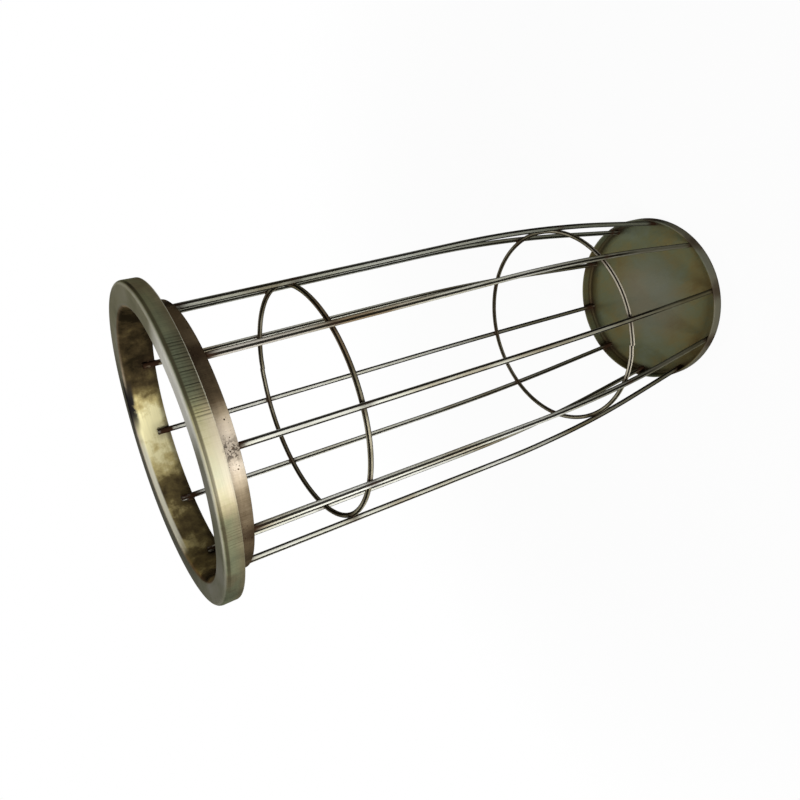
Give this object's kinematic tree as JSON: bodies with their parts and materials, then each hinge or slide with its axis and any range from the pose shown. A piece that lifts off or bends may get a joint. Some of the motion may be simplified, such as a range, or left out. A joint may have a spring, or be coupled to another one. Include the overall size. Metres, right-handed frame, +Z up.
{
  "type": "baghouse filter cage",
  "caption": "Round wire cage that holds a dust filter bag open: a pressed collar on top, lengthwise wires held by inner support rings, and a shallow pan closing the narrower foot.",
  "frame": {"origin": "middle of the pan's underside, on the axis of the cage", "axes": "+Z up along the axis of the cage, from the pan to the collar; +X through the first wire"},
  "size_m": [0.174, 0.174, 0.392],
  "materials": {
    "collar_sheet": "yellow-green passivated zinc",
    "pan_sheet": "dull olive passivated zinc",
    "cage_wire": "drawn wire, olive passivated zinc",
    "ring_wire": "drawn wire, olive passivated zinc"
  },
  "bodies": {
    "root": {"collar": "collar_sheet", "upper_ring": "ring_wire", "lower_ring": "ring_wire", "pan": "pan_sheet", "wire_01": "cage_wire", "wire_02": "cage_wire", "wire_03": "cage_wire", "wire_04": "cage_wire", "wire_05": "cage_wire", "wire_06": "cage_wire", "wire_07": "cage_wire", "wire_08": "cage_wire", "wire_09": "cage_wire", "wire_10": "cage_wire"}
  },
  "joints": []
}
